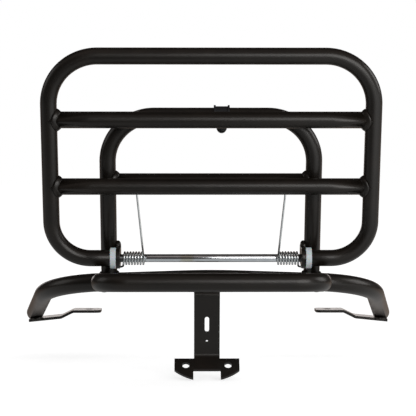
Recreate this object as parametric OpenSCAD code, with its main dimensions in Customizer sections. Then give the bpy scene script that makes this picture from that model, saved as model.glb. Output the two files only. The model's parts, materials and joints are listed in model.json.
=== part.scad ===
// Folding rear luggage rack for a scooter: a fixed tubular carrier and a sprung
// platform that hinges on a zinc-plated rod.
// X points to the right, Y forward and Z up. The origin lies midway between the
// bolt holes of the two mounting tabs, on the tabs' upper face.

/* [Platform] */
// Width of the platform over its side tubes
platform_w = 333; // [300:1:400]
// Distance from the hinge axis to the axis of the top bar
platform_reach = 204.5; // [190:0.5:240]
// Distance from the hinge axis to the axis of the lower crossbar
lower_bar_reach = 74.2; // [68:0.1:84]
// Height of the upper crossbar's axis over the hoop's top tube, where the buffer meets it
upper_bar_rise = 0.5; // [-2:0.5:3]
// Largest bend radius of the two far corners, at the tube's axis
platform_far_r = 48; // [30:1:52]
// Largest bend radius of the two corners beside the hinge, at the tube's axis
platform_near_r = 38.5; // [30:0.5:45]
// Straight tube left between a bend and what joins the tube beside it
bend_spare = 2; // [1:0.5:4]

/* [Hoop] */
// Width of the fixed hoop over its legs
hoop_w = 222; // [200:1:230]
// Distance from the hinge level to the axis of the hoop's top tube
hoop_reach = 141; // [136:0.5:150]
// Distance from the hinge level to the axis of the hoop's crossbar
hoop_bar_reach = 74; // [68:0.5:84]
// Distance from the hinge level down the legs to the base tube's axis
hoop_drop = 32; // [31:0.5:40]
// Bend radius of the hoop's corners, at the tube's axis
hoop_corner_r = 46.5; // [30:0.5:52]
// Distance between the hoop's plane and the folded platform's plane
hoop_offset = 20; // [19.5:0.25:24]
// Backward lean of the hoop and the folded platform, in degrees
lean = 15; // [8:0.5:18]

/* [Tubes] */
// Outer diameter of the platform and hoop tubes
rack_tube_d = 16.4; // [14:0.1:17]
// Wall of the platform and hoop tubes
rack_tube_wall = 1.5; // [1:0.1:1.8]
// Outer diameter of the base tube
base_tube_d = 19; // [18:0.5:22]
// Wall of the base tube
base_tube_wall = 2; // [1.5:0.1:2.5]
// Outer diameter of the support loop's tube
loop_tube_d = 18.2; // [16:0.1:19]
// Wall of the support loop's tube
loop_tube_wall = 1.5; // [1:0.1:2.5]
// Root gap left between welded pieces
weld_gap = 0.05; // [0.02:0.01:0.1]

/* [Base tube] */
// Fall of the base tube's plane towards the front, in degrees
base_slope = 15; // [12:0.5:17]
// Angle by which each half of the rear bar runs forward, in degrees
bar_sweep = 9; // [5:0.5:12]
// Bend radius in the middle of the rear bar, at the tube's axis
bar_middle_r = 170; // [100:5:300]
// Distance from the middle plane to the corner where bar and leg would meet
base_corner_x = 166; // [160:1:190]
// Bend radius of the base tube's corners, at the tube's axis
base_corner_r = 82; // [50:1:90]
// Angle by which each leg runs outward, in degrees
leg_splay = 10; // [5:0.5:14]
// Distance from the middle of the bar to the middle of the tabs, in its plane
leg_reach = 201; // [180:1:240]
// Length of the legs past the middle of the tabs
leg_past = -6; // [-8:0.5:12]

/* [Tabs] */
// Thickness of the mounting tabs
tab_t = 3; // [2:0.25:4]
// Length of a tab in the direction of travel
tab_w = 32; // [28:1:40]
// Distance from the middle plane to a tab's inner end
tab_inner_x = 121.5; // [110:0.5:130]
// Distance from a tab's inner end to its bolt hole
tab_hole_inset = 13.5; // [11:0.5:16]
// Diameter of the bolt hole in a tab
tab_hole_d = 8.5; // [6.5:0.1:9]
// Length of a tab's flat inner part
tab_flat = 31; // [28:0.5:34]
// Sideways run of the joggle between the flat part and the foot
joggle_run = 13.5; // [12:0.5:18]
// Drop of the joggle
joggle_drop = 6.6; // [5:0.1:10]
// Further drop of the foot to its outer end
foot_fall = 3.7; // [0:0.1:5]
// Bend radius of a tab, at the middle of the sheet
tab_bend_r = 4; // [3:0.5:6]
// Rounding of a tab's inner corners
tab_corner_r = 6; // [3:0.5:9]
// Rounding of a tab's outer corner at the front
tab_front_r = 10; // [3:0.5:16]
// Rounding of a tab's outer corner at the back
tab_rear_r = 3; // [1:0.5:8]
// Distance from the leg's outer side in to the foot's end
foot_inset = 4; // [0:0.5:7]
// Height of the leg's axis over the foot at the middle of the tab
leg_seat = 5; // [4:0.1:7]

/* [Support loop] */
// Width of the loop over its legs
loop_w = 234; // [214:0.5:240]
// Distance from the hinge axis back to the axis of the loop's bar
loop_back = 72.5; // [60:0.5:80]
// Bend radius of the loop's corners, at the tube's axis
loop_corner_r = 28; // [20:1:40]
// Angle below level at which the folded-down platform rests over the loop
rest_dip = 1.5; // [0:0.5:4]
// Gap left between the loop and the folded-down platform's lower crossbar
rest_gap = 0.4; // [0.2:0.1:1]

/* [Hinge] */
// Diameter of the hinge rod
rod_d = 8; // [6:0.5:9]
// Radial running clearance of the bushes on the rod
rod_play = 0.05; // [0.02:0.01:0.1]
// Length of rod inside each platform tube, beyond the bush's flange
rod_engagement = 17; // [12:0.5:25]
// Thickness of the hinge ears
ear_t = 4; // [3.5:0.5:6]
// Radius of the rounded end of an ear
ear_r = 10.5; // [8:0.5:12]
// Height of the ear's shoulder along the hoop's leg
ear_rise = 7; // [6:0.5:12]
// Length by which the ear passes the axis of the hoop's leg
ear_pass = 4; // [1:0.5:7]
// Diameter of a bush's flange
flange_d = 21; // [16:0.5:22]
// Thickness of a bush's flange
flange_t = 5.8; // [4:0.1:8]
// Running gap between a bush's flange and the ear
flange_gap = 0.2; // [0.1:0.05:0.4]
// Length of a bush's spigot inside the platform tube
spigot_l = 14; // [8:0.5:20]
// Clearance round a bush's spigot
spigot_play = 0.05; // [0.02:0.01:0.1]

/* [Springs] */
// Diameter of the spring wire
wire_d = 2; // [1.5:0.1:2.3]
// Mean diameter of the coil
coil_d = 12; // [11.5:0.1:13]
// Number of whole turns in a coil
coil_turns = 7; // [5:1:7]
// Pitch of the coil
coil_pitch = 2.84; // [2.5:0.02:3.1]
// Gap between the coil's outer end and the ear
coil_gap = 2.2; // [0.5:0.1:3]
// Distance by which the long leg leans outward up to the crossbar
leg_lean = 6.5; // [3:0.1:9]
// Depth by which the long leg enters the crossbar
leg_entry = 4.5; // [3:0.5:6]
// Diameter of the hole for the long leg
leg_hole_d = 3.4; // [3.2:0.1:4]
// Length of the short leg under the ear
hook_l = 4; // [3:0.5:5]
// Gap between the short leg and the ear's lower edge
hook_gap = 0.2; // [0.1:0.1:0.5]
// Distance of the short leg in front of the hinge axis, along the ear's lower edge
hook_ahead = 8; // [4:0.5:9]

/* [Buffer] */
// Distance of the buffer to the right of the middle plane
buffer_x = 10.5; // [0:0.5:30]
// Width of the buffer along the tube
buffer_w = 15.6; // [12:0.2:20]
// Wall of the buffer's sleeve
buffer_wall = 1.3; // [1:0.1:2]
// Height of the sleeve's raised lips
lip_h = 1.2; // [0.5:0.1:1.5]
// Width of the sleeve's raised lips
lip_w = 1.8; // [1:0.1:3]
// Width and height of the pad that meets the platform
pad_size = 9; // [6:0.5:11]
// Gap between the pad and the folded platform's upper crossbar
pad_gap = 0.3; // [0.2:0.1:1]
// Diameter of the boss under the sleeve
boss_d = 10.2; // [8:0.2:12]
// Height of the boss over the tube
boss_h = 5.3; // [3:0.1:7]
// Diameter of the screw's head
head_d = 9.6; // [8:0.2:11]
// Height of the screw's domed head
head_h = 3.9; // [3:0.1:4.5]
// Diameter of the screw's shank
shank_d = 5; // [4:0.5:6]
// Clearance round the screw's shank
shank_play = 0.1; // [0.05:0.05:0.3]

/* [Centre bracket] */
// Distance of the bracket to the left of the middle plane
bracket_x = 3.8; // [0:0.1:6]
// Thickness of the bracket
bracket_t = 3; // [2:0.25:4]
// Width of the strip
strip_w = 26; // [20:0.5:27]
// Distance from the hinge axis forward to the bend under the base tube
strip_forward = 1; // [-2:0.5:2]
// Length of the flange under the base tube
flange_run = 24; // [18:0.5:28]
// Height of the strip between its two bends
strip_drop = 66.4; // [62:0.2:80]
// Forward lean of the strip, in degrees
strip_lean = 15; // [5:0.5:20]
// Bend radius of the bracket, at the middle of the sheet
bracket_bend_r = 5; // [4:0.5:6]
// Distance from the upper bend down to the middle of the slot
slot_drop = 35.1; // [28:0.1:40]
// Length of the slot
slot_l = 16.6; // [10:0.2:20]
// Width of the slot
slot_w = 4.4; // [4:0.1:7]
// Distance from the upper bend down to the small hole
pilot_drop = 53; // [51:0.5:56]
// Diameter of the small hole
pilot_d = 2.6; // [2:0.1:4]
// Downward slope of the foot plate towards the back, in degrees
foot_slope = 42; // [35:1:50]
// Width of the foot plate
foot_w = 65.5; // [60:0.5:72]
// Distance from the lower bend to the foot plate's shoulders
foot_start = 5.5; // [4.5:0.5:8]
// Length of the foot plate below its shoulders
foot_l = 25.5; // [22:0.1:30]
// Width of the notch in the foot plate
notch_w = 27.4; // [26:0.2:30]
// Depth of the notch in the foot plate
notch_l = 10.9; // [6:0.1:12]
// Radius of the foot plate's rounded outline
foot_round_r = 47; // [44:1:60]
// Distance between the two holes in the foot plate
foot_hole_pitch = 42.5; // [40:0.5:48]
// Distance from the shoulders to the holes in the foot plate
foot_hole_in = 8.8; // [7:0.1:10]
// Diameter of the holes in the foot plate
foot_hole_d = 7.5; // [6:0.1:8.5]

/* [Hidden] */
$fn = 48;

black = [0.1, 0.098, 0.092];
zinc = [0.72, 0.75, 0.79];
nylon = [0.78, 0.82, 0.83];
rubber = [0.07, 0.07, 0.078];

rack_r = rack_tube_d / 2;
base_r = base_tube_d / 2;
loop_r = loop_tube_d / 2;
hoop_x = hoop_w / 2 - rack_r;
side_x = platform_w / 2 - rack_r;
upper_bar_reach = hoop_reach + upper_bar_rise;
loop_x = loop_w / 2 - loop_r;

// The hoop's feet, seen from the hinge axis, and the middle of the rear bar
foot_y = hoop_offset * cos(lean) + hoop_drop * sin(lean);
foot_z = hoop_offset * sin(lean) - hoop_drop * cos(lean);
bar_y = foot_y - hoop_x * tan(bar_sweep) * cos(base_slope);
bar_z = foot_z + hoop_x * tan(bar_sweep) * sin(base_slope);

// The legs at the middle of the tabs, seen from the hinge axis
corner_p = base_corner_x * tan(bar_sweep);
leg_x = base_corner_x + (leg_reach - corner_p) * tan(leg_splay);
tab_y = bar_y + leg_reach * cos(base_slope);
leg_z = bar_z - leg_reach * sin(base_slope);
leg_end_p = leg_reach + leg_past;

// The tab's path in its own X and Z, at the middle of the sheet
tab_outer_x = leg_x + base_r - foot_inset;
foot_inner_x = tab_inner_x + tab_flat + joggle_run;
foot_inner_z = -tab_t / 2 - joggle_drop;
foot_grade = foot_fall / (tab_outer_x - foot_inner_x);
tab_path = [[tab_inner_x, -tab_t / 2], [tab_inner_x + tab_flat, -tab_t / 2],
    [foot_inner_x, foot_inner_z], [tab_outer_x, foot_inner_z - foot_fall]];
tab_hole_x = tab_inner_x + tab_hole_inset;
foot_top_at_leg = foot_inner_z + tab_t / 2 - (leg_x - foot_inner_x) * foot_grade;

// The hinge axis, seen from the middle of the tab holes
hinge_y = -tab_y;
hinge_z = foot_top_at_leg + leg_seat - leg_z;

// The hinge's stack from the hoop's leg outward and inward
ear_outer_x = hoop_x - rack_r - weld_gap;
ear_inner_x = ear_outer_x - ear_t;
flange_inner_x = ear_outer_x + flange_gap;
tube_end_x = flange_inner_x + flange_t;
rod_bore_d = rod_d + 2 * rod_play;

// The base tube's path in its own plane
base_path = [[-base_corner_x - (leg_end_p - corner_p) * tan(leg_splay), leg_end_p],
    [-base_corner_x, corner_p], [0, 0], [base_corner_x, corner_p],
    [base_corner_x + (leg_end_p - corner_p) * tan(leg_splay), leg_end_p]];
base_radii = [base_corner_r, bar_middle_r, base_corner_r];

// The middle of the rear bar after its bend, seen from the hinge axis
bar_cut = bar_middle_r * (1 / cos(bar_sweep) - 1);
mid_bar_y = bar_y + bar_cut * cos(base_slope);
mid_bar_z = bar_z - bar_cut * sin(base_slope);

// Height of the hinge axis over the loop's bar, which stops the lower crossbar
loop_down = lower_bar_reach * sin(rest_dip) + sqrt(pow(rack_r + loop_r + rest_gap, 2)
    - pow(loop_back - lower_bar_reach * cos(rest_dip), 2));

// The support loop's plane runs from its bar to the base tube's axis
loop_meet_y = bar_y + loop_x * tan(bar_sweep) * cos(base_slope);
loop_meet_z = bar_z - loop_x * tan(bar_sweep) * sin(base_slope);
loop_run = norm([loop_meet_y + loop_back, loop_meet_z + loop_down]);
loop_fall = atan2(-loop_down - loop_meet_z, loop_meet_y + loop_back);

// The bracket's path in Y and Z, seen from the hinge axis; the bar's bend dips a little
// over the strip's width
bar_dip = pow(bracket_x + strip_w / 2, 2) / 2 / bar_middle_r * sin(base_slope);
bracket_top_z = mid_bar_z - bar_dip - base_r - weld_gap - bracket_t / 2;
lower_bend = [strip_forward + strip_drop * tan(strip_lean), bracket_top_z - strip_drop];
bracket_path = [[strip_forward + flange_run, bracket_top_z], [strip_forward, bracket_top_z],
    lower_bend, lower_bend + foot_start * [-cos(foot_slope), -sin(foot_slope)]];

// The platform's path in its own plane, from one bush round to the other
platform_path = [[-tube_end_x, 0], [-side_x, 0], [-side_x, platform_reach],
    [side_x, platform_reach], [side_x, 0], [tube_end_x, 0]];
near_r = min(platform_near_r, side_x - tube_end_x - spigot_l - bend_spare);
far_r = min(platform_far_r, platform_reach - upper_bar_reach - rack_r - bend_spare);
platform_radii = [near_r, far_r, far_r, near_r];
hoop_path = [[-hoop_x, -hoop_drop], [-hoop_x, hoop_reach], [hoop_x, hoop_reach],
    [hoop_x, -hoop_drop]];

// The spring's stations along X and the angle at which its long leg leaves
coil_r = coil_d / 2;
wire_r = wire_d / 2;
coil_start_x = ear_inner_x - coil_gap - wire_r;
leg_foot_s = lower_bar_reach - rack_r;
leave_angle = 90 - lean + asin(coil_r / leg_foot_s);
coil_end_x = coil_start_x - coil_pitch * (coil_turns + leave_angle / 360);
leg_hole_x = coil_end_x + leg_lean;

// Unit vector from a to b, and the signed turn at b
function heading(a, b) = (b - a) / norm(b - a);
function angle_of(v) = atan2(v[1], v[0]);
function turn(a, b, c) = let (u = heading(a, b), w = heading(b, c))
    atan2(u[0] * w[1] - u[1] * w[0], u * w);
function setback(a, b, c, r) = r * tan(abs(turn(a, b, c)) / 2);

// Straights are a hair slimmer than the bends and reach a short way into them, where the
// bend strays by half of lap_slack, in mm, so that every joint between them is sound
lap_slack = 0.003;
function lap(r) = sqrt(lap_slack * r);

// Carries a flat section along a path of straights and round bends in the XY plane
module run_along(path, radii) {
    translate([path[0][0], path[0][1], 0])
        rotate([0, 0, angle_of(path[1] - path[0])]) run_from(path, radii, 0) children();
}

// Draws the run from straight number i on, with the straight's start at the origin
// and its course along X; each bend and what follows it share one local frame
module run_from(path, radii, i) {
    last = len(path) - 2;
    used = i == 0 ? 0 : setback(path[i - 1], path[i], path[i + 1], radii[i - 1]);
    spare = i == last ? 0 : setback(path[i], path[i + 1], path[i + 2], radii[i]);
    run = norm(path[i + 1] - path[i]) - used - spare;
    before = i == 0 ? 0 : lap(radii[i - 1]);
    after = i == last ? 0 : lap(radii[i]);
    translate([-before, 0, 0]) rotate([90, 0, 90]) linear_extrude(before + run + after)
        scale(1 - lap_slack) children();
    if (i < last) {
        t = turn(path[i], path[i + 1], path[i + 2]);
        r = radii[i];
        translate([run, 0, 0]) scale([1, sign(t), 1]) translate([0, r, 0]) {
            rotate([0, 0, -90]) rotate_extrude(angle = abs(t)) translate([r, 0]) children();
            rotate([0, 0, abs(t)]) translate([0, -r, 0]) scale([1, sign(t), 1])
                run_from(path, radii, i + 1) children();
        }
    }
}

module tube_section(d, wall) {
    difference() {
        circle(d = d);
        circle(d = d - 2 * wall);
    }
}

// Places: the hinge axis, the leaning planes, the base plane and the loop plane
module at_hinge() translate([0, hinge_y, hinge_z]) children();
module in_platform() at_hinge() rotate([90 + lean, 0, 0]) children();
module in_hoop() in_platform() translate([0, 0, -hoop_offset]) children();
module in_base() at_hinge() translate([0, bar_y, bar_z]) rotate([-base_slope, 0, 0]) children();
module in_loop() at_hinge() translate([0, -loop_back, -loop_down])
    rotate([-loop_fall, 0, 0]) children();

// Solid runs, grown by the root gap, that cope the tubes which meet them
module base_cut() in_base() run_along(base_path, base_radii) circle(r = base_r + weld_gap);
module hoop_cut() in_hoop() run_along(hoop_path, [hoop_corner_r, hoop_corner_r])
    circle(r = rack_r + weld_gap);
module platform_cut() in_platform() run_along(platform_path, platform_radii)
    circle(r = rack_r + weld_gap);

module base_tube() {
    foot_room = 2 * base_tube_d;
    color(black) difference() {
        in_base() run_along(base_path, base_radii) tube_section(base_tube_d, base_tube_wall);
        for (side = [-1, 1]) foot_space(side, foot_room);
    }
}

// The room under the foot's upper face, where the leg is cut to sit on it
module foot_space(side, depth) {
    top = [for (x = [foot_inner_x, tab_outer_x + depth])
        [side * x, foot_inner_z + tab_t / 2 - (x - foot_inner_x) * foot_grade + weld_gap]];
    rotate([90, 0, 0]) linear_extrude(2 * tab_w + depth, center = true)
        polygon([top[0], top[1], top[1] - [0, depth], top[0] - [0, depth]]);
}

module tab(side) {
    color(black) difference() {
        rotate([90, 0, 0]) run_along([for (p = tab_path) [side * p[0], p[1]]],
            [tab_bend_r, tab_bend_r]) square([tab_t, tab_w], center = true);
        translate([side * tab_hole_x, 0, 0])
            cylinder(h = 4 * tab_t, d = tab_hole_d, center = true);
        for (edge = [-1, 1]) translate([side * tab_inner_x, edge * tab_w / 2, 0])
            scale([side, -edge, 1]) corner_waste(tab_corner_r, 4 * tab_t);
        translate([side * tab_outer_x, tab_w / 2, 0])
            scale([-side, -1, 1]) corner_waste(tab_front_r, 2 * tab_w);
        translate([side * tab_outer_x, -tab_w / 2, 0])
            scale([-side, 1, 1]) corner_waste(tab_rear_r, 2 * tab_w);
    }
}

// What a rounded corner loses, for a corner at the origin of a sheet that fills +X and +Y
module corner_waste(r, h) {
    difference() {
        translate([-r, -r, -h / 2]) cube([2 * r, 2 * r, h]);
        translate([r, r, 0]) cylinder(r = r, h = 2 * h, center = true);
    }
}

module left_tab() tab(-1);
module right_tab() tab(1);

module support_loop() {
    color(black) difference() {
        in_loop() run_along([[-loop_x, loop_run], [-loop_x, 0], [loop_x, 0], [loop_x, loop_run]],
            [loop_corner_r, loop_corner_r]) tube_section(loop_tube_d, loop_tube_wall);
        base_cut();
        hoop_cut();
    }
}

module centre_bracket() {
    color(black) translate([-bracket_x, 0, 0]) {
        difference() {
            at_hinge() rotate([90, 0, 90]) run_along(bracket_path,
                [bracket_bend_r, bracket_bend_r]) square([bracket_t, strip_w], center = true);
            on_strip(slot_drop) strip_slot();
            on_strip(pilot_drop) cylinder(h = 4 * bracket_t, d = pilot_d, center = true);
        }
        foot_plate();
    }
}

// A place on the strip's middle plane, measured down from the upper bend
module on_strip(drop) at_hinge() translate([0, strip_forward, bracket_top_z])
    rotate([90 + strip_lean, 0, 0]) translate([0, -drop, 0]) children();

module strip_slot() {
    reach = (slot_l - slot_w) / 2;
    cube([slot_w, 2 * reach, 4 * bracket_t], center = true);
    for (end = [-1, 1]) translate([0, end * reach, 0])
        cylinder(h = 4 * bracket_t, d = slot_w, center = true);
}

module foot_plate() {
    // Centre of the outline's arc, which passes through the shoulders' lower corners
    side_l = foot_l - notch_l;
    arc_y = sqrt(foot_round_r * foot_round_r - foot_w * foot_w / 4) - side_l;
    at_hinge() translate([0, lower_bend[0], lower_bend[1]]) rotate([foot_slope, 0, 0])
        translate([0, -foot_start, 0]) difference() {
            intersection() {
                translate([-foot_w / 2, -foot_l, -bracket_t / 2]) cube([foot_w, foot_l, bracket_t]);
                translate([0, arc_y, 0])
                    cylinder(h = 4 * bracket_t, r = foot_round_r, center = true, $fn = 96);
            }
            translate([-notch_w / 2, -foot_l - notch_l, -bracket_t])
                cube([notch_w, 2 * notch_l, 2 * bracket_t]);
            for (end = [-1, 1]) translate([end * foot_hole_pitch / 2, -foot_hole_in, 0])
                cylinder(h = 4 * bracket_t, d = foot_hole_d, center = true);
        }
}

module hoop() {
    color(black) difference() {
        in_hoop() run_along(hoop_path, [hoop_corner_r, hoop_corner_r])
            tube_section(rack_tube_d, rack_tube_wall);
        base_cut();
        in_hoop() screw_hole();
    }
}

// The hole for the buffer's screw, through the tube's lower wall only
module screw_hole() translate([buffer_x, hoop_reach - rack_tube_d, 0])
    rotate([-90, 0, 0]) cylinder(h = rack_tube_d, d = shank_d + 2 * shank_play);

module crossbar(half_w, reach) translate([-half_w, reach, 0]) rotate([90, 0, 90])
    linear_extrude(2 * half_w) tube_section(rack_tube_d, rack_tube_wall);

module hoop_crossbar() {
    color(black) difference() {
        in_hoop() crossbar(hoop_x, hoop_bar_reach);
        hoop_cut();
    }
}

module ear(side) {
    foot_n = hoop_offset + ear_pass;
    color(black) in_platform() translate([side * (ear_inner_x + ear_t / 2), 0, 0])
        rotate([0, 90, 0]) linear_extrude(ear_t, center = true) difference() {
            union() {
                circle(r = ear_r);
                polygon([[0, -ear_r], [foot_n, -ear_r], [foot_n, ear_rise],
                    [ear_r, ear_rise], [0, ear_r]]);
            }
            circle(d = rod_bore_d);
        }
}

module left_ear() ear(-1);
module right_ear() ear(1);

module hinge_rod() {
    rod_l = 2 * (tube_end_x + rod_engagement);
    color(zinc) at_hinge() rotate([0, 90, 0]) cylinder(h = rod_l, d = rod_d, center = true);
}

module bush(side) {
    spigot_d = rack_tube_d - 2 * rack_tube_wall - 2 * spigot_play;
    color(nylon) at_hinge() scale([side, 1, 1]) rotate([0, 90, 0]) difference() {
        union() {
            translate([0, 0, flange_inner_x]) cylinder(h = flange_t, d = flange_d);
            translate([0, 0, tube_end_x]) cylinder(h = spigot_l, d = spigot_d);
        }
        cylinder(h = tube_end_x + 2 * spigot_l, d = rod_bore_d);
    }
}

module left_bush() bush(-1);
module right_bush() bush(1);

module platform_frame() {
    color(black) in_platform() run_along(platform_path, platform_radii)
        tube_section(rack_tube_d, rack_tube_wall);
}

module lower_crossbar() {
    color(black) difference() {
        in_platform() crossbar(side_x, lower_bar_reach);
        platform_cut();
        for (side = [-1, 1]) in_platform()
            translate([side * leg_hole_x, lower_bar_reach - rack_tube_d, 0])
                rotate([-90, 0, 0]) cylinder(h = rack_tube_d, d = leg_hole_d);
    }
}

module upper_crossbar() {
    color(black) difference() {
        in_platform() crossbar(side_x, upper_bar_reach);
        platform_cut();
    }
}

// The wire's course, for the right-hand spring, seen from the hinge axis: a short leg
// under the ear, a bow up into the first turn, the coil, and a long leg to the crossbar
// The coil's angles run from straight below the rod round its back to the top
function coil_point(x, a) = [x, -coil_r * sin(a), -coil_r * cos(a)];
function leg_point(s) = [leg_hole_x, -s * sin(lean), s * cos(lean)];
ring_steps = 16;
coil_end_angle = coil_turns * 360 + leave_angle;
coil_rings = ceil(coil_end_angle / 360 * ring_steps);
hook_depth = ear_r + hook_gap + wire_r;
hook_y = hook_depth * sin(lean) + hook_ahead * cos(lean);
hook_z = hook_ahead * sin(lean) - hook_depth * cos(lean);
hook_path = [[ear_inner_x + hook_l, hook_y, hook_z], [ear_inner_x - wire_r / 3, hook_y, hook_z],
    [coil_start_x + 0.4 * coil_gap, 0.65 * hook_y, 0.74 * hook_z - 0.26 * coil_r]];
coil_path = [for (i = [0 : coil_rings]) let (a = i / coil_rings * coil_end_angle)
    coil_point(coil_start_x - a / 360 * coil_pitch, a)];
wire_path = concat(hook_path, coil_path, [leg_point(leg_foot_s), leg_point(leg_foot_s + leg_entry)]);

// Sweeps a round wire along a list of points, with rings square to the course and set
// by a direction that the wire never takes
ring_ref = [0.9, 0.31, 0.2];
function unit(v) = v / norm(v);
function tangent(p, i) = unit(p[min(i + 1, len(p) - 1)] - p[max(i - 1, 0)]);
function across(t, ref) = unit(ref - (ref * t) * t);
module wire(path, r, sides) {
    n = len(path);
    spread = [for (i = [0 : n - 1]) let (t = tangent(path, i), u = across(t, ring_ref),
        v = cross(t, u)) for (k = [0 : sides - 1]) let (a = 360 * k / sides)
            path[i] + r * (cos(a) * u + sin(a) * v)];
    sheet = [for (i = [0 : n - 2]) for (k = [0 : sides - 1]) let (m = (k + 1) % sides)
        [i * sides + k, (i + 1) * sides + k, (i + 1) * sides + m, i * sides + m]];
    first = [for (k = [0 : sides - 1]) k];
    end = [for (k = [0 : sides - 1]) n * sides - 1 - k];
    polyhedron(points = spread, faces = concat(sheet, [first], [end]));
}

module spring(side) color(zinc) at_hinge() scale([side, 1, 1]) wire(wire_path, wire_r, 8);
module left_spring() spring(-1);
module right_spring() spring(1);

module buffer() {
    bore_r = rack_r + weld_gap;
    sleeve_r = bore_r + buffer_wall;
    lip_r = sleeve_r + lip_h;
    pad_face = hoop_offset - rack_r - pad_gap;
    color(rubber) in_hoop() translate([buffer_x, hoop_reach, 0]) difference() {
        union() {
            rotate([0, 90, 0]) cylinder(h = buffer_w, r = sleeve_r, center = true);
            for (end = [-1, 1]) translate([end * (buffer_w - lip_w) / 2, 0, 0])
                rotate([0, 90, 0]) cylinder(h = lip_w, r = lip_r, center = true);
            translate([-pad_size / 2, -pad_size / 2, 0]) cube([pad_size, pad_size, pad_face]);
            rotate([90, 0, 0]) cylinder(h = rack_r + boss_h, d = boss_d);
        }
        rotate([0, 90, 0]) cylinder(h = 2 * buffer_w, r = bore_r, center = true);
        rotate([90, 0, 0]) cylinder(h = rack_tube_d + boss_h, d = shank_d + 2 * shank_play);
    }
}

module buffer_screw() {
    // Radius of the sphere whose cap is the domed head
    dome_r = (head_d * head_d / 4 + head_h * head_h) / (2 * head_h);
    seat = rack_r + boss_h;
    color(zinc) in_hoop() translate([buffer_x, hoop_reach, 0]) rotate([90, 0, 0]) {
        cylinder(h = seat, d = shank_d);
        intersection() {
            translate([0, 0, seat]) cylinder(h = head_h, d = head_d);
            translate([0, 0, seat + head_h - dome_r]) sphere(r = dome_r);
        }
    }
}

base_tube();
left_tab();
right_tab();
support_loop();
centre_bracket();
hoop();
hoop_crossbar();
left_ear();
right_ear();
hinge_rod();
left_spring();
right_spring();
left_bush();
right_bush();
platform_frame();
lower_crossbar();
upper_crossbar();
buffer();
buffer_screw();
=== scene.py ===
"""Dresses the folding luggage rack: smooth powder-coated tubes with their weld beads,
sheet-metal pieces with softened edges, the sprung hinge, and a plain pale studio.
Lengths are in millimetres and counted from the hinge axis, as X right, Y forward, Z up,
until a mesh is made: meshes, materials and the studio are in metres in the part's own frame.
The camera looks forward at the rack's rear side, so what is near to it has a low Y."""
import json
import bmesh
import bpy
import numpy as np
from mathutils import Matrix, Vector


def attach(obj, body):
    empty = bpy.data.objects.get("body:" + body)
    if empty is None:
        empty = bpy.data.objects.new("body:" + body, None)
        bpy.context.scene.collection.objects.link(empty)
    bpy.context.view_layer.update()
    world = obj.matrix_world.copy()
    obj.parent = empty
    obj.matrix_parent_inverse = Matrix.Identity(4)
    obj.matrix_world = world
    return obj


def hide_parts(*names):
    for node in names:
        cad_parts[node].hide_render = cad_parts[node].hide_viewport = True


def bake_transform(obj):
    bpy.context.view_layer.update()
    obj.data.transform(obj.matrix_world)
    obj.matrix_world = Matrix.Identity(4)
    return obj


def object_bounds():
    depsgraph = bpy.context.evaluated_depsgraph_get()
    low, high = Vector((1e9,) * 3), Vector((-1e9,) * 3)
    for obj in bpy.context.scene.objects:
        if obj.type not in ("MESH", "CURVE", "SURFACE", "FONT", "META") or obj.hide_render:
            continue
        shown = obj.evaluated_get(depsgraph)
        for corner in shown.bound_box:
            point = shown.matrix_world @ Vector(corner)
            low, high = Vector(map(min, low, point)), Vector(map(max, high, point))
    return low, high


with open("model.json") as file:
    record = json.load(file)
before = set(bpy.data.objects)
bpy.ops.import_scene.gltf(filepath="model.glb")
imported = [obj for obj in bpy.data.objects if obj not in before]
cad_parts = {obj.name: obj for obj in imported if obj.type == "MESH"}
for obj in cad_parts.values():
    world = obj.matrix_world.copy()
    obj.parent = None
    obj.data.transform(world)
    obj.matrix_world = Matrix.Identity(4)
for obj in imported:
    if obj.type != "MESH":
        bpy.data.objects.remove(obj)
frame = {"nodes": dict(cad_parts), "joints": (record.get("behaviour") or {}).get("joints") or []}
cad_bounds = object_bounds()

MM = 0.001
HINGE = np.array(frame["joints"][0]["pos_m"])
CARRIER = "carrier"
PLATFORM = "platform"
SIDES = {"left": -1, "right": 1}

# Tubes
RACK_R = 8.2
RACK_WALL = 1.5
BASE_R = 9.5
BASE_WALL = 2.0
LOOP_R = 9.1
LOOP_WALL = 1.5

# Platform and hoop, both in planes that lean backward
LEAN = 15.0
PLATFORM_SIDE_X = 158.3
PLATFORM_REACH = 204.5
PLATFORM_NEAR_R = 38.5
PLATFORM_FAR_R = 48.0
PLATFORM_END_X = 100.55
LOWER_BAR_S = 74.2
UPPER_BAR_S = 141.5
HOOP_X = 102.8
HOOP_REACH = 141.0
HOOP_BAR_S = 74.0
HOOP_DROP = 32.0
HOOP_FOOT_IN = 4.5
HOOP_CORNER_R = 46.5
HOOP_OFFSET = 20.0

# Base tube, in a plane that falls towards the front, and the tabs under its ends
BASE_SLOPE = 15.0
BAR_SWEEP = 9.0
BAR_MIDDLE_R = 170.0
BASE_CORNER_X = 166.0
BASE_CORNER_R = 82.0
LEG_SPLAY = 10.0
LEG_REACH = 201.0
LEG_PAST = -6.0
TAB_W = 32.0
TAB_T = 3.0
TAB_Y = -HINGE[1] / MM
TAB_FOOT_X = 166.0
TAB_FOOT_Z = -8.1
TAB_FOOT_GRADE = 0.1019
TAB_FOOT_TOP = -HINGE[2] / MM + TAB_FOOT_Z + TAB_T / 2

# Support loop
LOOP_X = 107.9
LOOP_BACK = 72.5
LOOP_DOWN = 19.563
LOOP_CORNER_R = 28.0
LOOP_END_IN = 2.5

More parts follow.
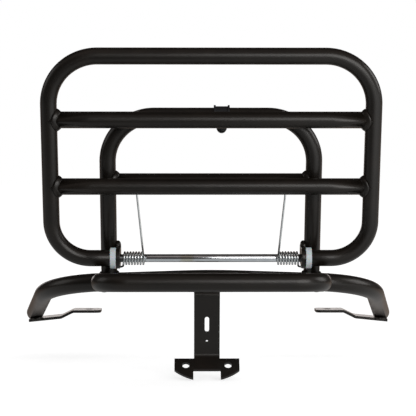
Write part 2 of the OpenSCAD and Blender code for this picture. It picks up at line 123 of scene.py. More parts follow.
# Hinge and springs
ROD_R = 4.0
ROD_HALF = 117.55
ROD_CHAMFER = 0.6
EAR_INNER_X = 90.55
EAR_OUTER_X = 94.55
EAR_R = 10.5
EAR_RISE = 7.0
EAR_REACH = 24.0
COIL_R = 6.0
WIRE_R = 1.0
COIL_START_X = 87.35
COIL_TURNS = 7
COIL_PITCH = 2.84
SPRING_LEG_X = 73.34
SPRING_LEG_IN = 4.5
HOOK_L = 4.0
HOOK_AHEAD = 8.0
HOOK_GAP = 0.2
TWISTING_TURNS = 5   # a count of a spring's turns from its first one

# Centre bracket
BRACKET_X = -3.8
BRACKET_W = 26.0

# Weld beads
BEAD = 3.3           # half the width of a crossbar's flat fillet, where it is widest
BEAD_FLAT = 0.3      # its thickness, as a share of its width
BEAD_OUT = 0.4       # how far its middle line stands off the crossbar
BEAD_ASIDE = 2.0     # and off the tube that the crossbar meets
LOOP_BEAD = 1.4
FOOT_BEAD = 2.0
BRACKET_BEAD = 1.4
EAR_BEAD = 1.3
SHOULDER_BEAD = 1.5  # what the ear's bead gains over the shoulder
SHOULDER = 4.0       # the height over which it gains that
RIPPLE = 1.3         # length of one ripple along a bead
SWELL = 0.07         # height of a ripple, as a share of the bead's radius
TAPER = 1.2          # length of an open bead's tapered end, in radii
SEAM_POINTS = 400    # points round a leg's cut by its tab
SEAM_STRIDE = 12     # of which every so many carries the bead
SEAM_SHORT = 1.5     # how far the bead stays back from the leg's end


# Places and courses

def unit(v):
    """Vectors along the last axis, each divided by its length."""
    return v / np.linalg.norm(v, axis=-1, keepdims=True)


def left_of(way):
    """A direction in a plane, turned a quarter turn anticlockwise: (-y, x)."""
    return np.array([-way[1], way[0]])


def angles(count):
    """Evenly spaced angles once round a circle."""
    return np.linspace(0, 2 * np.pi, count, endpoint=False)


def length_along(line):
    """The length of a line from its start to each of its points."""
    steps = np.linalg.norm(np.diff(line, axis=0), axis=-1)
    return np.concatenate([[0], np.cumsum(steps)])


class Place:
    """A flat working plane: its origin, and its axes turned about X by an angle in degrees."""

    def __init__(self, origin, pitch):
        c, s = np.cos(np.radians(pitch)), np.sin(np.radians(pitch))
        self.origin = np.array(origin, float)
        self.axes = np.array([[1, 0, 0], [0, c, s], [0, -s, c]])

    def put(self, points):
        """Plane coordinates (..., 3) to hinge coordinates: origin + x X + y Y + z Z."""
        return self.origin + np.asarray(points, float) @ self.axes


def bar_middle(leg_x):
    """Y and Z of the point where the two halves of the rear bar cross: the hoop's foot at
    leg_x, less the run leg_x tan(sweep) of the bar, laid along the base's slope."""
    lean = np.radians(LEAN)
    foot = HOOP_OFFSET * np.array([np.cos(lean), np.sin(lean)])
    foot += HOOP_DROP * np.array([np.sin(lean), -np.cos(lean)])
    run = leg_x * np.tan(np.radians(BAR_SWEEP))
    slope = np.radians(BASE_SLOPE)
    return foot - run * np.array([np.cos(slope), -np.sin(slope)])


BAR_Y, BAR_Z = bar_middle(HOOP_X)
LEAN_PLANE = Place((0, 0, 0), 90 + LEAN)
HOOP_PLANE = Place(LEAN_PLANE.put((0, 0, -HOOP_OFFSET)), 90 + LEAN)
BASE_PLANE = Place((0, BAR_Y, BAR_Z), -BASE_SLOPE)
BAR_AT_LOOP = BASE_PLANE.put((0, LOOP_X * np.tan(np.radians(BAR_SWEEP)), 0))
LOOP_ALONG = BAR_AT_LOOP[1:] - np.array([-LOOP_BACK, -LOOP_DOWN])
LOOP_RUN = np.linalg.norm(LOOP_ALONG)
LOOP_PLANE = Place((0, -LOOP_BACK, -LOOP_DOWN),
                   np.degrees(np.arctan2(LOOP_ALONG[1], LOOP_ALONG[0])))
ALONG = LEAN_PLANE.axes[1]
TO_RIGHT = np.array([1.0, 0, 0])


def course(corners, radii, turn_step=np.radians(2.5), fewest=4):
    """A planar course through corners with round bends: its points and unit directions.
    A bend starts at the corner less r tan(turn / 2) and turns about a centre beside it."""
    corners = np.array(corners, float)
    heads = unit(np.diff(corners, axis=0))
    points, ways = [corners[:1]], [heads[:1]]
    for corner, before, after, r in zip(corners[1:-1], heads[:-1], heads[1:], radii):
        turn = np.arctan2(before[0] * after[1] - before[1] * after[0], before @ after)
        start = corner - before * r * np.tan(abs(turn) / 2)
        side = np.sign(turn) * left_of(before)
        a = np.linspace(0, turn, max(fewest, int(np.ceil(abs(turn) / turn_step))))[:, None]
        c, s = np.cos(a), np.sin(a)
        spokes = c * -side + s * left_of(-side)
        points.append(start + side * r + r * spokes)
        ways.append(c * before + s * left_of(before))
    points.append(corners[-1:])
    ways.append(heads[-1:])
    return np.concatenate(points), np.concatenate(ways)


# Meshes

def to_metres(points):
    """Hinge millimetres to the part's metres."""
    return HINGE + MM * points


def new_piece(name, mesh, finish, body, stands_for=()):
    """An object at the origin that wears one finish, rides on one body and takes the place
    of the CAD nodes that it stands for."""
    piece = bpy.data.objects.new(name, mesh)
    bpy.context.scene.collection.objects.link(piece)
    mesh.materials.clear()
    mesh.materials.append(finish)
    if body:
        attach(piece, body)
    if stands_for:
        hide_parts(*stands_for)
    return piece


def coated(name, mesh, body, stands_for=()):
    """A piece of powder-coated steel."""
    new_piece(name, mesh, COAT, body, stands_for)


def skin_mesh(name, points, wrap=True):
    """A mesh over rings of points (ring, place on the ring, 3). Neighbours make quads, which
    face outward where a ring turns anticlockwise seen against the course of the rings; the
    last ring joins the first where the mesh wraps."""
    nu, nv = points.shape[:2]
    u, v = np.meshgrid(np.arange(nu if wrap else nu - 1), np.arange(nv), indexing="ij")
    u2, v2 = (u + 1) % nu, (v + 1) % nv
    quads = np.stack([u * nv + v, u * nv + v2, u2 * nv + v2, u2 * nv + v], axis=-1)
    quads = quads.reshape(-1, 4)
    mesh = bpy.data.meshes.new(name)
    mesh.from_pydata(to_metres(points.reshape(-1, 3)), [], quads.tolist())
    mesh.polygons.foreach_set("use_smooth", np.ones(len(quads), bool))
    mesh.update()
    return mesh


def close_poles(mesh):
    """Joins the points of a ring that has shrunk to one place."""
    work = bmesh.new()
    work.from_mesh(mesh)
    bmesh.ops.remove_doubles(work, verts=work.verts, dist=1e-7)
    work.to_mesh(mesh)
    work.free()
    return mesh


def tube_points(place, corners, radii, r, wall, sides=48, lip=0.4, rounding=0.3):
    """The wall of a bent tube as one closed grid: out along its outer face, round the end's
    small lip, and back along its bore. A ring is centre + radius (cos a N + sin a Z)."""
    line, way = course(corners, radii)
    lip_in = lip * np.array([1, rounding, 0])
    lip_drop = lip * np.array([0, rounding, 1])
    start = line[0] + lip_in[::-1, None] * way[0]
    end = line[-1] - lip_in[:, None] * way[-1]
    start_way, end_way = np.repeat(way[:1], 3, 0), np.repeat(way[-1:], 3, 0)
    centres = np.concatenate([start, line[1:-1], end])
    ways = np.concatenate([start_way, way[1:-1], end_way])
    outer = np.concatenate([r - lip_drop[::-1], np.full(len(line) - 2, r), r - lip_drop])
    bore = 2 * r - wall - outer
    centres = np.concatenate([centres, centres[::-1]])
    ways = np.concatenate([ways, ways[::-1]])
    ring_r = np.concatenate([outer, bore[::-1]])[:, None, None]
    a = angles(sides)[None, :, None]
    beside = np.stack([-ways[:, 1], ways[:, 0], 0 * ways[:, 0]], -1)[:, None]
    middle = np.pad(centres, ((0, 0), (0, 1)))[:, None]
    return place.put(middle + ring_r * (np.cos(a) * beside + np.sin(a) * np.array([0, 0, 1])))


def swept(name, line, ring_r, sides, toward, wrap=False, flat=1.0):
    """A rope along a space curve: line + radius (flat cos a N + sin a B), where N is the part
    of the toward direction that is square to the course, and B is square to both."""
    if wrap:
        way = unit(np.roll(line, -1, 0) - np.roll(line, 1, 0))
    else:
        way = unit(np.gradient(line, axis=0))
    n = unit(toward - np.sum(toward * way, -1, keepdims=True) * way)
    b = np.cross(way, n)
    a = angles(sides)[None, :, None]
    ring = flat * np.cos(a) * n[:, None] + np.sin(a) * b[:, None]
    return skin_mesh(name, line[:, None] + np.reshape(ring_r, (-1, 1, 1)) * ring, wrap)


def tube(name, place, corners, radii, r, wall, body, shape=None):
    """A bent tube that stands for the CAD node of its name; shape may change its points."""
    points = tube_points(place, corners, radii, r, wall)
    if shape:
        points = shape(points)
    coated(name + "_skin", skin_mesh(name + "_skin", points), body, [name])


# Joints between tubes

def square_to(axis_way, vectors):
    """What is left of vectors when their part along an axis is taken off: v - (v . A) A."""
    return vectors - np.sum(vectors * axis_way, -1, keepdims=True) * axis_way


def entry(points, way, axis_point, axis_way, r):
    """Where lines from points along way first meet a cylinder: the smaller root t of
    |w + t d| = r, with both w and d taken square to the cylinder's axis."""
    w = square_to(axis_way, points - axis_point)
    d = square_to(axis_way, way)
    a, b, c = d @ d, w @ d, np.sum(w * w, -1) - r * r
    t = (-b - np.sqrt(np.maximum(b * b - a * c, 0))) / a
    return points + t[:, None] * way


def away(points, axis_point, axis_way):
    """Unit directions from an axis straight out to points."""
    return unit(square_to(axis_way, points - axis_point))


def ring_about(origin, way, r, count, askew=(0.3, 0.5, 0.81)):
    """A circle of points round a line: origin + r (cos a P + sin a Q). P is square to the
    line and to a direction that no tube runs along, and Q is square to both."""
    first = unit(np.cross(way, askew))
    second = np.cross(way, first)
    a = angles(count)[:, None]
    return origin + r * (np.cos(a) * first + np.sin(a) * second)


def saddle(origin, way, r, axis_point, axis_way, axis_r, count=160):
    """The closed curve on which a tube of radius r meets another tube of radius axis_r."""
    return entry(ring_about(origin, way, r, count), way, axis_point, axis_way, axis_r)


def bead(name, line, size, body, wrap=True, toward=(0.31, 0.52, 0.8), flat=1.0, sides=16):
    """A weld bead along a curve: a rope of radius size (1 + swell |sin(pi n s / length)|),
    with n ripples, which tapers as sqrt(1 - (1 - s)^2) at its two ends where the curve is
    open. Its rings start at the toward way, a fixed one on an open bead; a flat one fills a
    corner and is thin that way."""
    length = length_along(line)
    whole = length[-1] + (np.linalg.norm(line[0] - line[-1]) if wrap else 0)
    ripples = np.round(whole / RIPPLE)
    radius = size * (1 + SWELL * np.abs(np.sin(np.pi * ripples * length / whole)))
    if not wrap:
        ends = np.minimum(length, whole - length) / (TAPER * np.max(size))
        radius = radius * np.sqrt(1 - np.clip(1 - ends, 0, 1) ** 2)
    mesh = swept(name, line, radius, sides, np.array(toward), wrap, flat)
    coated(name, close_poles(mesh), body)


def round_bead(name, seam, size, body):
    """A round bead along a closed seam."""
    bead(name, seam, size, body, toward=unit(seam - seam.mean(0)))


def resampled(points, spacing=0.35, steps=24):
    """A smooth curve through a few points, by Catmull-Rom, at an even spacing."""
    p = np.array(points, float)
    p = np.concatenate([2 * p[:1] - p[1:2], p, 2 * p[-1:] - p[-2:-1]])
    t = np.linspace(0, 1, steps, endpoint=False)[None, :, None]
    p0, p1, p2, p3 = (p[i:len(p) - 3 + i, None] for i in range(4))
    doubled = (2 * p1 + (p2 - p0) * t + (2 * p0 - 5 * p1 + 4 * p2 - p3) * t ** 2
               + (3 * p1 - p0 - 3 * p2 + p3) * t ** 3)
    dense = np.concatenate([doubled.reshape(-1, 3) / 2, p[-2:-1]])
    length = length_along(dense)
    even = np.linspace(0, length[-1], max(3, int(length[-1] / spacing)))
    return np.stack([np.interp(even, length, dense[:, k]) for k in range(3)], -1)


# Shader maths

class Value:
    """A number that changes over a surface; Python sums on it add Math nodes."""

    def __init__(self, nodes, socket):
        self.nodes = nodes
        self.socket = socket

    def _math(self, operation, first, second):
        return self.nodes.node("ShaderNodeMath", {"operation": operation}, [first, second])

    def __add__(self, other):
        return self._math("ADD", self, other)

    def __sub__(self, other):
        return self._math("SUBTRACT", self, other)

    def __rsub__(self, other):
        return self._math("SUBTRACT", other, self)

    def __mul__(self, other):
        return self._math("MULTIPLY", self, other)

    def band(self, low, high):
        """0 at low, 1 at high, flat beyond both and a smooth step between."""
        return self.nodes.node("ShaderNodeMapRange", {"interpolation_type": "SMOOTHSTEP"},
                               {"Value": self, "From Min": low, "From Max": high})

    __radd__ = __add__
    __rmul__ = __mul__


class Nodes:
    """The nodes of a material or a world, and one method that adds every one."""

    def __init__(self, owner):
        owner.use_nodes = True
        self.tree = owner.node_tree

    def node(self, kind, settings=None, sockets=None, output=0):
        """A node of a kind, its settings first, then the values or links of its sockets."""
        made = self.tree.nodes.new(kind)
        for key, value in (settings or {}).items():
            setattr(made, key, value)
        pairs = sockets.items() if isinstance(sockets, dict) else enumerate(sockets or [])
        for key, value in pairs:
            self.feed(made.inputs[key], value)
        return Value(self, made.outputs[output])

    def feed(self, socket, value):
        """Links a value to a socket, or sets a number or colour there."""
        if isinstance(value, Value):
            self.tree.links.new(value.socket, socket)
        else:
            socket.default_value = value

    def axis(self, letter, coordinates="Object"):
        """One of the Object coordinates, in metres and the same for every piece. A world's
        Generated ones are a direction's."""
        place = self.node("ShaderNodeTexCoord", output=coordinates)
        return self.node("ShaderNodeSeparateXYZ", sockets=[place], output=letter)

    def ray(self, kind):
        """1 for the rays of one kind and 0 for all others."""
        return self.node("ShaderNodeLightPath", output="Is %s Ray" % kind)

    def choose(self, mask, first, second):
        """The first shader where the mask is 0, and the second where it is 1."""
        return self.node("ShaderNodeMixShader", sockets=[mask, first, second])

    def surface(self, output, shader):
        """Links a shader to the output node of that name."""
        self.feed(self.tree.nodes[output].inputs["Surface"], shader)


class Finish(Nodes):
    """A material with one Principled shader."""

    def __init__(self, name, **constants):
        self.material = bpy.data.materials.new(name)
        super().__init__(self.material)
        self.shader = self.tree.nodes["Principled BSDF"]
        self.wear(**constants)

    def wear(self, **values):
        """Feeds the shader's own sockets."""
        for socket, value in values.items():
            self.feed(self.shader.inputs[socket.replace("_", " ")], value)
        return self.material

    def grain(self, per_metre, detail=2.0):
        """Noise with so many cells to the metre."""
        place = self.node("ShaderNodeTexCoord", output="Object")
        return self.node("ShaderNodeTexNoise", {"noise_dimensions": "3D"},
                         {"Vector": place, "Scale": per_metre, "Detail": detail})

    def between(self, mask, low, high):
        """One colour where the mask is 0, another where it is 1. Among a Mix node's sockets,
        0 is the factor, 6 and 7 are the two colours, and output 2 is their mix."""
        low, high = (c if isinstance(c, Value) else (*c, 1) for c in (low, high))
        return self.node("ShaderNodeMix", {"data_type": "RGBA"},
                         {0: mask, 6: low, 7: high}, output=2)

    def relief(self, height, depth_mm, strength):
        """Bump of a depth in millimetres."""
        return self.node("ShaderNodeBump", sockets={
            "Height": height, "Distance": depth_mm * MM, "Strength": strength})


def powder_coat():
    """Satin black powder coat: a fine orange peel, and a little brown where it lies thin."""
    coat = Finish("powder_coat", Specular_IOR_Level=0.4, Specular_Tint=(1.0, 0.99, 0.97, 1),
                  Coat_Weight=0.5, Coat_Roughness=0.2, Coat_IOR=1.3,
                  Coat_Tint=(1.0, 0.95, 0.91, 1))
    full_black, thin_brown = (0.0058, 0.0044, 0.0032), (0.0088, 0.0064, 0.0046)
    thin = coat.grain(38, detail=3).band(0.42, 0.72)
    peel = coat.grain(620, detail=1.5)
    return coat.wear(Base_Color=coat.between(thin, full_black, thin_brown),
                     Roughness=0.33 + 0.08 * coat.grain(55),
                     Normal=coat.relief(peel, depth_mm=0.05, strength=0.5))


def zinc_plate():
    """Bright zinc on the rod: cool grey with fine turning lines and one faint yellow stain."""
    zinc = Finish("zinc_plate", Metallic=1.0)
    grey, bright, yellow = (0.78, 0.81, 0.84), (0.90, 0.93, 0.95), (0.62, 0.58, 0.40)
    stain_x, stain_half = -0.024, 0.007
    along = zinc.axis("X")
    lines = zinc.node("ShaderNodeTexNoise", {"noise_dimensions": "1D"},
                      {"W": along, "Scale": 1500.0, "Detail": 2.0})
    cloud = zinc.grain(120, detail=3)
    off = (along - stain_x) * (1 / stain_half)
    stain = (1 - (off * off).band(0.2, 1.4)) * (0.35 + 0.4 * cloud)
    clean = zinc.between(cloud.band(0.35, 0.7), grey, bright)
    return zinc.wear(Base_Color=zinc.between(stain, clean, yellow),
                     Roughness=0.10 + 0.10 * cloud,
                     Normal=zinc.relief(lines, depth_mm=0.01, strength=0.2))


def smoky_zinc():
    """Zinc darkened by a smoky passivation, on the buffer's screw."""
    smoky = Finish("smoky_zinc", Metallic=1.0)
    dark, worn = (0.035, 0.035, 0.038), (0.075, 0.072, 0.07)
    return smoky.wear(Base_Color=smoky.between(smoky.grain(300, detail=3), dark, worn),
                      Roughness=0.3 + 0.1 * smoky.grain(500))


def spring_steel():
    """Drawn spring wire with a bright, slightly clouded plating."""
    wire = Finish("spring_steel", Metallic=1.0)
    grey, bright = (0.74, 0.76, 0.76), (0.88, 0.91, 0.91)
    cloud = wire.grain(260, detail=3)
    return wire.wear(Base_Color=wire.between(cloud.band(0.35, 0.65), grey, bright),
                     Roughness=0.06 + 0.1 * cloud)


def nylon():
    """Natural nylon of the bushes: milky, cool, a little light passes into it."""
    milky = Finish("nylon", Roughness=0.42, Subsurface_Weight=0.18, Subsurface_Scale=0.002)
    cool, pale = (0.60, 0.66, 0.69), (0.70, 0.745, 0.77)
    return milky.wear(Base_Color=milky.between(milky.grain(140), cool, pale),
                      Normal=milky.relief(milky.grain(900), depth_mm=0.02, strength=0.4))


def rubber():
    """Moulded black rubber of the buffer."""
    black = Finish("rubber", Specular_IOR_Level=0.4, Base_Color=(0.012, 0.012, 0.0135, 1))
    return black.wear(Roughness=0.55 + 0.1 * black.grain(300),
                      Normal=black.relief(black.grain(1100), depth_mm=0.03, strength=0.5))


COAT = powder_coat()
ZINC = zinc_plate()
SMOKY = smoky_zinc()
WIRE = spring_steel()
NYLON = nylon()
RUBBER = rubber()


# Bent tubes

def seated_leg(points):
    """The base tube's legs, flat underneath where they sit on the tabs' feet: a point is
    lifted to the foot's upper face, and the bore to a wall's thickness above it."""
    outward = np.abs(points[..., 0]) - TAB_FOOT_X
    foot_top = TAB_FOOT_TOP - outward * TAB_FOOT_GRADE
    bore = np.arange(len(points))[:, None] >= len(points) // 2
    seat = np.where(bore, foot_top + BASE_WALL, foot_top)
    near_tab = (outward > 0) & (points[..., 1] > TAB_Y - 2 * TAB_W)
    points[..., 2] = np.where(near_tab, np.maximum(points[..., 2], seat), points[..., 2])
    return points


def base_path():
    """The base tube's corners in its plane: leg, rear bar in two halves, leg."""
    corner_p = BASE_CORNER_X * np.tan(np.radians(BAR_SWEEP))
    end_p = LEG_REACH + LEG_PAST
    end_x = BASE_CORNER_X + (end_p - corner_p) * np.tan(np.radians(LEG_SPLAY))
    half = [(BASE_CORNER_X, corner_p), (end_x, end_p)]
    return [(-x, p) for x, p in reversed(half)] + [(0, 0)] + half


def arch(x, reach, foot):
    """The four corners of an arch in its plane: foot, two at its reach, foot."""
    return [(-x, foot), (-x, reach), (x, reach), (x, foot)]


BASE_PATH = base_path()

tube("platform_frame", LEAN_PLANE,
     [(-PLATFORM_END_X, 0), *arch(PLATFORM_SIDE_X, PLATFORM_REACH, 0), (PLATFORM_END_X, 0)],
     [PLATFORM_NEAR_R, PLATFORM_FAR_R, PLATFORM_FAR_R, PLATFORM_NEAR_R],
     RACK_R, RACK_WALL, PLATFORM)
tube("hoop", HOOP_PLANE, arch(HOOP_X, HOOP_REACH, HOOP_FOOT_IN - HOOP_DROP),
     [HOOP_CORNER_R, HOOP_CORNER_R], RACK_R, RACK_WALL, CARRIER)
tube("base_tube", BASE_PLANE, BASE_PATH, [BASE_CORNER_R, BAR_MIDDLE_R, BASE_CORNER_R],
     BASE_R, BASE_WALL, CARRIER, seated_leg)
tube("support_loop", LOOP_PLANE, arch(LOOP_X, 0, LOOP_RUN - LOOP_END_IN),
     [LOOP_CORNER_R, LOOP_CORNER_R], LOOP_R, LOOP_WALL, CARRIER)


# Crossbars and the welds at tube joints

def crossbar(name, place, half_x, s, body, overlap=0.3, sides=96, steps=9):
    """A straight tube whose two ends are coped to the tubes beside it, by straight lines
    between the two saddles, with a bead round each saddle. The bead is thickest where the
    two tubes' faces turn from each other, as sqrt(1 - cos angle)."""
    middle = place.put((0, s, 0))
    for word, side in SIDES.items():
        beside = place.put((side * half_x, 0, 0))
        seam = saddle(middle, side * TO_RIGHT, RACK_R + BEAD_OUT,
                      beside, ALONG, RACK_R + BEAD_ASIDE)
        off_bar, off_side = away(seam, middle, TO_RIGHT), away(seam, beside, ALONG)
        depth = np.sqrt(np.clip(1 - np.sum(off_bar * off_side, -1), 0, 1))
        bead("%s_weld_%s" % (name, word), seam, BEAD * (0.5 + 0.5 * depth), body,
             toward=off_bar + off_side, flat=BEAD_FLAT)
    ring = ring_about(middle, TO_RIGHT, RACK_R, sides)
    left = entry(ring, -TO_RIGHT, place.put((-half_x, 0, 0)), ALONG, RACK_R)
    right = entry(ring, TO_RIGHT, place.put((half_x, 0, 0)), ALONG, RACK_R)
    u = np.linspace(0, 1, steps)[:, None, None]
    skin = (1 - u) * (left - overlap * TO_RIGHT) + u * (right + overlap * TO_RIGHT)
    bore = 1 - RACK_WALL / RACK_R
    inner = middle + (skin - middle) * np.array([1, bore, bore])
    mesh = skin_mesh(name + "_skin", np.concatenate([skin, inner[::-1]]))
    coated(name + "_skin", mesh, body, [name])


crossbar("lower_crossbar", LEAN_PLANE, PLATFORM_SIDE_X, LOWER_BAR_S, PLATFORM)
crossbar("upper_crossbar", LEAN_PLANE, PLATFORM_SIDE_X, UPPER_BAR_S, PLATFORM)
crossbar("hoop_crossbar", HOOP_PLANE, HOOP_X, HOOP_BAR_S, CARRIER)


def joint_welds(word, side):
    """Beads where a hoop leg and a loop leg meet the rear bar, and where a leg meets its tab.
    The last is the cut of the leg by the tab's upper face, P + t way with t from
    (top - P) . up / way . up, as far as it lies short of the leg's end."""
    corner, end = (BASE_PLANE.put((side * x, p, 0)) for x, p in BASE_PATH[3:])
    bar_way = unit(corner - BASE_PLANE.origin)
    hoop_leg = HOOP_PLANE.put((side * HOOP_X, 0, 0))
    round_bead("hoop_weld_" + word,
               saddle(hoop_leg, -ALONG, RACK_R, BASE_PLANE.origin, bar_way, BASE_R),
               FOOT_BEAD, CARRIER)
    loop_leg = LOOP_PLANE.put((side * LOOP_X, 0, 0))
    loop_way = LOOP_PLANE.axes[1]
    round_bead("loop_weld_" + word,
               saddle(loop_leg, loop_way, LOOP_R, BASE_PLANE.origin, bar_way, BASE_R),
               LOOP_BEAD, CARRIER)
    leg_way = unit(end - corner)
    ring = ring_about(corner, leg_way, BASE_R, SEAM_POINTS)
    up = np.array([side * TAB_FOOT_GRADE, 0, 1])
    foot_top = np.array([side * TAB_FOOT_X, 0, TAB_FOOT_TOP])
    t = ((foot_top - ring) @ up) / (leg_way @ up)
    seam = ring + t[:, None] * leg_way
    first = int(np.argmax(t))
    under_leg = np.roll(t, -first) < np.linalg.norm(end - corner) - SEAM_SHORT
    line = np.roll(seam, -first, 0)[under_leg][::SEAM_STRIDE]
    bead("tab_weld_" + word, resampled(line), FOOT_BEAD, CARRIER, wrap=False)


def ear_weld(word, side):
    """One bead up the groove behind an ear, over its shoulder and down its front edge. Its
    points are (ahead of the hinge, up along the lean, out from the ear's outer face)."""
    rear, front = EAR_REACH - 8.6, EAR_REACH + 0.4
    low, high = 1 - EAR_R, EAR_RISE + 1.2
    in_groove, near_top, on_top = 0.5, 0.3, -0.6
    route = [(rear, low, in_groove), (rear, 0, in_groove), (rear, high - 3, near_top),
             (rear + 1.4, high, on_top), (rear + 4.6, high + 0.4, -0.9),
             (front - 1.4, high, on_top), (front, high - 3, near_top),
             (front, 0, in_groove), (front, low, in_groove)]
    line = resampled([LEAN_PLANE.put((side * (EAR_OUTER_X + out), s, -n))
                      for n, s, out in route])
    rise = ALONG @ line.T
    size = EAR_BEAD + SHOULDER_BEAD * np.clip((rise - high + SHOULDER) / SHOULDER, 0, 1)
    bead("ear_weld_" + word, line, size, CARRIER, wrap=False)


def bracket_welds():
    """Two beads along the grooves between the rear bar and the bracket's flange. The bar's
    bend passes its corner point at r (1 / cos sweep - 1)."""
    passed = BAR_MIDDLE_R * (1 / np.cos(np.radians(BAR_SWEEP)) - 1)
    middle = BASE_PLANE.put((0, passed, 0))
    aside, above, short = 4.8, 0.5, 1.5
    z = middle[2] - BASE_R + above
    half = BRACKET_W / 2 - short
    for word, way in {"rear": -1, "front": 1}.items():
        y = middle[1] + way * aside
        line = resampled([(BRACKET_X + x, y, z) for x in (-half, 0, half)])
        bead("bracket_weld_" + word, line, BRACKET_BEAD, CARRIER, wrap=False)


for word, side in SIDES.items():
    joint_welds(word, side)
    ear_weld(word, side)
bracket_welds()


# Sheet metal, bushes and buffer: the CAD solids with softened edges

def softened(node, edge, finish, body, segments=2, sharp=np.radians(32),
             flat=np.radians(0.6), merge=2e-6, face_weight=80):
    """A copy of a CAD node with its flat faces made whole and its sharp edges rounded."""
    mesh = frame["nodes"][node].data.copy()
    work = bmesh.new()
    work.from_mesh(mesh)
    bmesh.ops.remove_doubles(work, verts=work.verts, dist=merge)
    bmesh.ops.dissolve_limit(work, angle_limit=flat, verts=work.verts, edges=work.edges)
    corners = [e for e in work.edges if len(e.link_faces) == 2 and e.calc_face_angle(0) > sharp]
    bmesh.ops.bevel(work, geom=corners, offset=edge * MM, segments=segments, profile=0.5,
                    affect="EDGES", clamp_overlap=True, harden_normals=False)
    bmesh.ops.triangulate(work, faces=[f for f in work.faces if len(f.verts) > 4])
    work.to_mesh(mesh)
    work.free()
    mesh.polygons.foreach_set("use_smooth", np.ones(len(mesh.polygons), bool))
    piece = new_piece(node + "_skin", mesh, finish, body, [node])
    weigh = piece.modifiers.new("faces", "WEIGHTED_NORMAL")
    weigh.keep_sharp = False
    weigh.weight = face_weight


for word in SIDES:
    softened(word + "_tab", 0.45, COAT, CARRIER)
    softened(word + "_ear", 0.6, COAT, CARRIER)
    softened(word + "_bush", 0.5, NYLON, PLATFORM)
softened("centre_bracket", 0.45, COAT, CARRIER)
softened("buffer", 0.4, RUBBER, CARRIER)
softened("buffer_screw", 0.3, SMOKY, CARRIER)


# Hinge rod and springs

def rod(sides=40):
    """The rod as a profile of radius over X, turned about the hinge axis."""
    straight = ROD_HALF - ROD_CHAMFER
    x = np.array([-ROD_HALF, -ROD_HALF, -straight, straight, ROD_HALF, ROD_HALF])
    r = np.array([0, ROD_R - ROD_CHAMFER, ROD_R, ROD_R, ROD_R - ROD_CHAMFER, 0])
    line = np.stack([x, 0 * x, 0 * x], -1)
    a = angles(sides)[None, :, None]
    ring = np.cos(a) * np.array([0, 1, 0]) + np.sin(a) * np.array([0, 0, 1])
    mesh = skin_mesh("hinge_rod_skin", line[:, None] + r[:, None, None] * ring, wrap=False)
    new_piece("hinge_rod_skin", close_poles(mesh), ZINC, CARRIER,
              ["hinge_rod"])


def spring_line(side, turn_steps=40, leg_steps=40):
    """The wire's course: a short leg under the ear, a bow into the first turn, the coil, which
    runs as x = start - pitch a / 2 pi, y = -R sin a, z = -R cos a, and a long leg up to the
    crossbar."""
    lean = np.radians(LEAN)
    leg_foot = LOWER_BAR_S - RACK_R
    leave = np.pi / 2 - lean + np.arcsin(COIL_R / leg_foot)
    depth = EAR_R + HOOK_GAP + WIRE_R
    hook_y = depth * np.sin(lean) + HOOK_AHEAD * np.cos(lean)
    hook_z = HOOK_AHEAD * np.sin(lean) - depth * np.cos(lean)
    bow_out, bow_y, bow_z = 0.9, 0.65, 0.74
    hook = resampled([(EAR_INNER_X + HOOK_L, hook_y, hook_z), (EAR_INNER_X, hook_y, hook_z),
                      (COIL_START_X + bow_out, bow_y * hook_y,
                       bow_z * hook_z - (1 - bow_z) * COIL_R),
                      (COIL_START_X, 0, -COIL_R)])
    a = np.linspace(0, 2 * np.pi * COIL_TURNS + leave, turn_steps * COIL_TURNS)[1:]
    coil = np.stack([COIL_START_X - a / (2 * np.pi) * COIL_PITCH,
                     -COIL_R * np.sin(a), -COIL_R * np.cos(a)], -1)
    far = np.array([[SPRING_LEG_X, -s * np.sin(lean), s * np.cos(lean)]
                    for s in (leg_foot, leg_foot + SPRING_LEG_IN)])
    u = np.linspace(0, 1, leg_steps)[1:, None]
    leg = coil[-1] + u * (far[0] - coil[-1])
    return np.concatenate([hook, coil, leg, far[1:]]) * np.array([side, 1, 1])


def spring(word, side, sides=12, end_rounding=0.9):
    """One torsion spring, swept along its wire's course."""
    name = word + "_spring"
    line = spring_line(side)
    radius = np.full(len(line), WIRE_R)
    radius[[0, -1]] = 0
    radius[[1, -2]] = end_rounding * WIRE_R
    toward = np.array([0.9 * side, 0.31, 0.2])
    mesh = close_poles(swept(name + "_skin", line, radius, sides, toward))
    piece = new_piece(name + "_skin", mesh, WIRE, None, [name])
    turns = [to_metres(np.array([side * x, 0, 0]))
             for x in (COIL_START_X, COIL_START_X - TWISTING_TURNS * COIL_PITCH)]
    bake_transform(piece)


rod()
for word, side in SIDES.items():
    spring(word, side)


# Studio

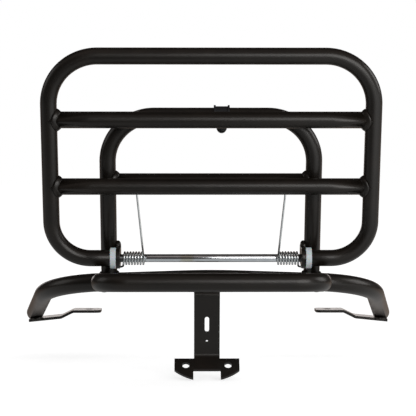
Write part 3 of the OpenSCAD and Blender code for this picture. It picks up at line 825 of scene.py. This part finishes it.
def pale_floor():
    """A wide white floor, a millimetre under the rack. What the camera sees of it glows, so
    that it is as white as the world behind it, and a little less within the lamps' reach,
    where a soft shadow stays. To reflections it shows painted light instead: it is dim, with a
    painted bright patch near the camera on the right, a painted glow under the rack that fades
    beyond it, and a painted warm tint beyond the rack."""
    low = cad_bounds[0][2] - MM
    half = 40.0
    corners = [(-half, -half, low), (half, -half, low), (half, half, low), (-half, half, low)]
    mesh = bpy.data.meshes.new("floor")
    mesh.from_pydata(corners, [], [(0, 1, 2, 3)])
    floor = bpy.data.objects.new("floor", mesh)
    bpy.context.scene.collection.objects.link(floor)
    white = Finish("floor_white", Base_Color=(0.8, 0.8, 0.8, 1), Roughness=0.9,
                   Specular_IOR_Level=0.0)
    x, y = white.axis("X"), white.axis("Y")
    lamplit = 1 - (x * x + y * y).band(0.5, 4.0)
    to_camera = white.ray("Camera") * (0.7 - lamplit * 0.09)
    glow = white.node("ShaderNodeEmission",
                      sockets={"Color": (1, 1, 1, 1), "Strength": to_camera})
    lit = white.node("ShaderNodeAddShader",
                     sockets=[Value(white, white.shader.outputs[0]), glow])
    # painted light that only reflections see: a bright patch on the right near the camera, a
    # glow under the rack, warm and dimmer beyond it
    right = x.band(-0.1, 0.5)
    near_camera = y.band(-0.35, -0.65)
    beyond = y.band(-0.1, 0.3)
    under = y.band(-0.75, -0.4) * (1 - beyond * 0.65)
    strength = right * (near_camera * 0.8 + 0.15) + under * 0.3 + 0.08
    painted_tint = white.between(beyond, (0.97, 0.99, 1), (1, 0.82, 0.7))
    painted_reflection = white.node("ShaderNodeEmission", sockets={"Color": painted_tint, "Strength": strength})
    white.surface("Material Output", white.choose(white.ray("Glossy"), lit, painted_reflection))
    mesh.materials.append(white.material)


def pale_world():
    """White to the camera and a plain even fill for the rest. Reflections see a dark room
    with a bright band low beyond the rack and a softly lit ceiling on the camera's side."""
    world = bpy.data.worlds.new("studio")
    bpy.context.scene.world = world
    room = Nodes(world)
    y, z = room.axis("Y", "Generated"), room.axis("Z", "Generated")

    def sky(colour, strength):
        """A background of one colour."""
        return room.node("ShaderNodeBackground",
                         sockets={"Color": (*colour, 1), "Strength": strength})

    backdrop = y.band(0.86, 0.98) * 0.9 * z.band(0.22, 0.08)
    ceiling = z.band(0.3, 0.7) * 0.2 * y.band(0.2, -0.3)
    glints = 0.04 + backdrop + ceiling
    rest = room.choose(room.ray("Glossy"), sky((1, 1, 1), 0.4), sky((1, 0.88, 0.84), glints))
    seen = room.choose(room.ray("Camera"), rest, sky((1, 1, 1), 1.0))
    room.surface("World Output", seen)


def lamp(name, at, width, height, watts):
    """An oblong area lamp that faces the rack's middle from a point, in metres from there."""
    data = bpy.data.lights.new(name, "AREA")
    data.shape = "RECTANGLE"
    data.size = width
    data.size_y = height
    data.energy = watts
    stand = bpy.data.objects.new(name, data)
    bpy.context.scene.collection.objects.link(stand)
    middle = (cad_bounds[0] + cad_bounds[1]) / 2
    stand.location = middle + Vector(at)
    stand.rotation_euler = (middle - stand.location).to_track_quat("-Z", "Y").to_euler()


def photo_camera():
    """The photograph's view: a long lens behind the rack, a little above the hinge."""
    at_mm = np.array([-21.32, -1526.54, 81.21])
    yaw, pitch = np.radians(0.694), np.radians(1.168)
    lens_px, frame_px, sensor = 1527.16, 416, 36.0
    data = bpy.data.cameras.new("camera")
    data.sensor_width = sensor
    data.lens = lens_px * sensor / frame_px
    data.clip_start, data.clip_end = 0.05, 200.0
    camera = bpy.data.objects.new("camera", data)
    bpy.context.scene.collection.objects.link(camera)
    camera.location = to_metres(at_mm)
    camera.rotation_euler = (np.pi / 2 - pitch, 0, -yaw)
    bpy.context.scene.camera = camera


pale_floor()
pale_world()
lamp("key", (0.75, -1.65, 0.46), width=1.5, height=0.9, watts=15)
lamp("far", (-0.15, 1.8, 0.24), width=1.6, height=0.45, watts=2)
lamp("right", (1.7, 0.1, 0.7), width=0.9, height=0.9, watts=6)
lamp("left", (-1.7, 0.1, 0.7), width=0.9, height=0.9, watts=2)
photo_camera()
bpy.context.scene.view_settings.view_transform = "Standard"
